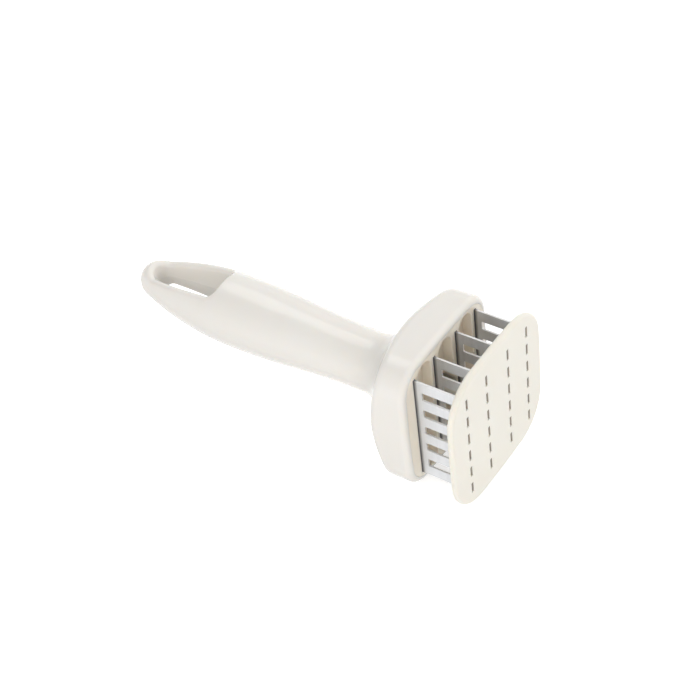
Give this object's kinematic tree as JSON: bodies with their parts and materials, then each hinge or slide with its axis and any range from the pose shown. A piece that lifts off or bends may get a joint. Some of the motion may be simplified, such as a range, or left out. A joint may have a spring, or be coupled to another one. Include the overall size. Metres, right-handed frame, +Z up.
{
  "type": "meat tenderizer",
  "caption": "Hand meat tenderizer: round loop-ended handle, rounded square head with pointed steel comb blades, and a slotted press plate that springs back over the points.",
  "frame": {"origin": "on the table, under the middle of the tool's bounding box as it lies at rest", "axes": "+X runs along the tool from the loop end to the press plate, level with the table; +Z is up; +Y runs across the blade rows. The tool's own axis points up by about 9.7 degrees, because it lies on the head's lower back edge and on the underside of the handle."},
  "size_m": [0.2003, 0.0736, 0.0773],
  "materials": {
    "handle_plastic": "smooth gloss moulding",
    "carrier_plastic": "satin moulding",
    "plate_plastic": "satin moulding",
    "rod_plastic": "turned smooth",
    "bush_plastic": "satin moulding",
    "spring_steel": "drawn wire",
    "blade_steel": "ground and polished",
    "pin_steel": "drawn bar"
  },
  "bodies": {
    "tool": {"handle_body": "handle_plastic", "blade_carrier": "carrier_plastic", "blade_row_1": "blade_steel", "blade_row_2": "blade_steel", "blade_row_3": "blade_steel", "blade_row_4": "blade_steel", "blade_pin_upper": "pin_steel", "blade_pin_lower": "pin_steel", "guide_bush": "bush_plastic", "return_spring": "spring_steel"},
    "plate": {"press_plate": "plate_plastic", "plunger_rod": "rod_plastic"}
  },
  "joints": [
    {"name": "plate_press", "type": "slide", "parent": "tool", "child": "plate", "axis": [-0.9856, 0, -0.1691], "range_m": [0, 0.018], "stiffness_N_per_m": 900, "springref_m": -0.009, "deforming": ["return_spring"]}
  ]
}
